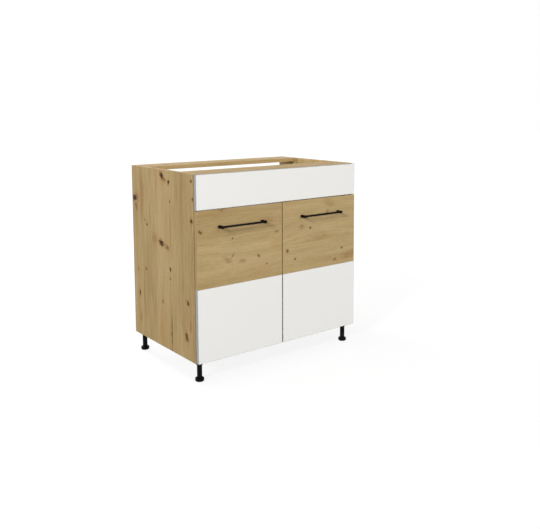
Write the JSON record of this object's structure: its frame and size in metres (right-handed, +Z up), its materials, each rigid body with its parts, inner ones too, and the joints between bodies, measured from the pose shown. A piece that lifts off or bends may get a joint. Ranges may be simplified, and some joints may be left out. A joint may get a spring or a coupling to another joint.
{
  "type": "kitchen base cabinet",
  "caption": "Sink base cabinet, open at top and back, with a fixed upper front panel, hinged doors in oak and white, black bar handles and adjustable legs.",
  "frame": {"origin": "on the floor under the middle of the bounding box", "axes": "+X to the right as seen from the front, +Y from the handles to the open back, +Z up"},
  "size_m": [0.8, 0.546, 0.8],
  "materials": {
    "oak_carcass": "matt melamine board, knotty oak look with upright grain",
    "oak_front": "matt laminated board, knotty oak look with level grain",
    "white_front": "matt white laminated board",
    "grey_band": "matt light grey edge band",
    "beech": "fluted beech dowel",
    "nickel_steel": "nickel-plated pressed steel",
    "zinc_screw": "zinc-plated steel",
    "zinc_casting": "zinc die casting",
    "black_handle": "matt black powder coat",
    "black_leg": "black moulded plastic",
    "clear_buffer": "clear soft buffer"
  },
  "bodies": {
    "carcass": {"left_side": "oak_carcass", "right_side": "oak_carcass", "bottom_panel": "oak_carcass", "front_rail": "oak_carcass", "rear_rail": "oak_carcass", "carcass_edge_bands": "oak_carcass", "blind_panel": "white_front", "blind_edge_bands": "grey_band", "cam_bolts": "zinc_screw", "cam_locks": "zinc_casting", "carcass_dowels": "beech", "blind_brackets": "nickel_steel", "bracket_screws": "zinc_screw", "door_buffers": "clear_buffer", "left_hinge_arms": "nickel_steel", "right_hinge_arms": "nickel_steel", "left_hinge_plates": "nickel_steel", "right_hinge_plates": "nickel_steel", "plate_screws": "zinc_screw", "arm_screws": "zinc_screw", "leg_sockets": "black_leg", "leg_screws": "zinc_screw", "front_left_leg_tube": "black_leg", "front_right_leg_tube": "black_leg", "rear_left_leg_tube": "black_leg", "rear_right_leg_tube": "black_leg"},
    "left_outer_link": {"left_outer_links": "nickel_steel"},
    "left_inner_link": {"left_inner_links": "nickel_steel"},
    "left_door": {"left_hinge_cups": "nickel_steel", "left_cup_screws": "zinc_screw", "left_door_oak": "oak_front", "left_door_white": "white_front", "left_oak_edge_bands": "oak_front", "left_white_edge_bands": "grey_band", "left_door_dowels": "beech", "left_handle_bar": "black_handle", "left_handle_posts": "black_handle", "left_handle_screws": "zinc_screw"},
    "right_outer_link": {"right_outer_links": "nickel_steel"},
    "right_inner_link": {"right_inner_links": "nickel_steel"},
    "right_door": {"right_hinge_cups": "nickel_steel", "right_cup_screws": "zinc_screw", "right_door_oak": "oak_front", "right_door_white": "white_front", "right_oak_edge_bands": "oak_front", "right_white_edge_bands": "grey_band", "right_door_dowels": "beech", "right_handle_bar": "black_handle", "right_handle_posts": "black_handle", "right_handle_screws": "zinc_screw"},
    "front_left_foot": {"front_left_foot": "black_leg"},
    "front_right_foot": {"front_right_foot": "black_leg"},
    "rear_left_foot": {"rear_left_foot": "black_leg"},
    "rear_right_foot": {"rear_right_foot": "black_leg"}
  },
  "joints": [
    {"name": "left_outer_link_pivot", "type": "hinge", "parent": "carcass", "child": "left_outer_link", "pos_m": [-0.3747, -0.222, 0.3725], "axis": [0, 0, 1], "range_deg": [0, 38]},
    {"name": "left_door_hinge", "type": "hinge", "parent": "left_outer_link", "child": "left_door", "pos_m": [-0.3894, -0.2344, 0.3725], "axis": [0, 0, -1], "range_deg": [0, 137], "stiffness_Nm_per_rad": 0.2, "springref_deg": -143.24},
    {"name": "left_inner_link_pivot", "type": "hinge", "parent": "left_door", "child": "left_inner_link", "pos_m": [-0.3857, -0.2391, 0.3725], "axis": [0, 0, 1], "range_deg": [0, 117]},
    {"name": "right_outer_link_pivot", "type": "hinge", "parent": "carcass", "child": "right_outer_link", "pos_m": [0.3747, -0.222, 0.3725], "axis": [0, 0, -1], "range_deg": [0, 38]},
    {"name": "right_door_hinge", "type": "hinge", "parent": "right_outer_link", "child": "right_door", "pos_m": [0.3894, -0.2344, 0.3725], "axis": [0, 0, 1], "range_deg": [0, 137], "stiffness_Nm_per_rad": 0.2, "springref_deg": -143.24},
    {"name": "right_inner_link_pivot", "type": "hinge", "parent": "right_door", "child": "right_inner_link", "pos_m": [0.3857, -0.2391, 0.3725], "axis": [0, 0, -1], "range_deg": [0, 117]},
    {"name": "front_left_foot_screw", "type": "slide", "parent": "carcass", "child": "front_left_foot", "axis": [0, 0, -1], "range_m": [0, 0.02]},
    {"name": "front_right_foot_screw", "type": "slide", "parent": "carcass", "child": "front_right_foot", "axis": [0, 0, -1], "range_m": [0, 0.02]},
    {"name": "rear_left_foot_screw", "type": "slide", "parent": "carcass", "child": "rear_left_foot", "axis": [0, 0, -1], "range_m": [0, 0.02]},
    {"name": "rear_right_foot_screw", "type": "slide", "parent": "carcass", "child": "rear_right_foot", "axis": [0, 0, -1], "range_m": [0, 0.02]}
  ],
  "couplings": [
    {"joint": "left_outer_link_pivot", "follows": "left_door_hinge", "ratio": 0.27007},
    {"joint": "left_inner_link_pivot", "follows": "left_door_hinge", "ratio": 0.84671},
    {"joint": "right_outer_link_pivot", "follows": "right_door_hinge", "ratio": 0.27007},
    {"joint": "right_inner_link_pivot", "follows": "right_door_hinge", "ratio": 0.84671}
  ]
}
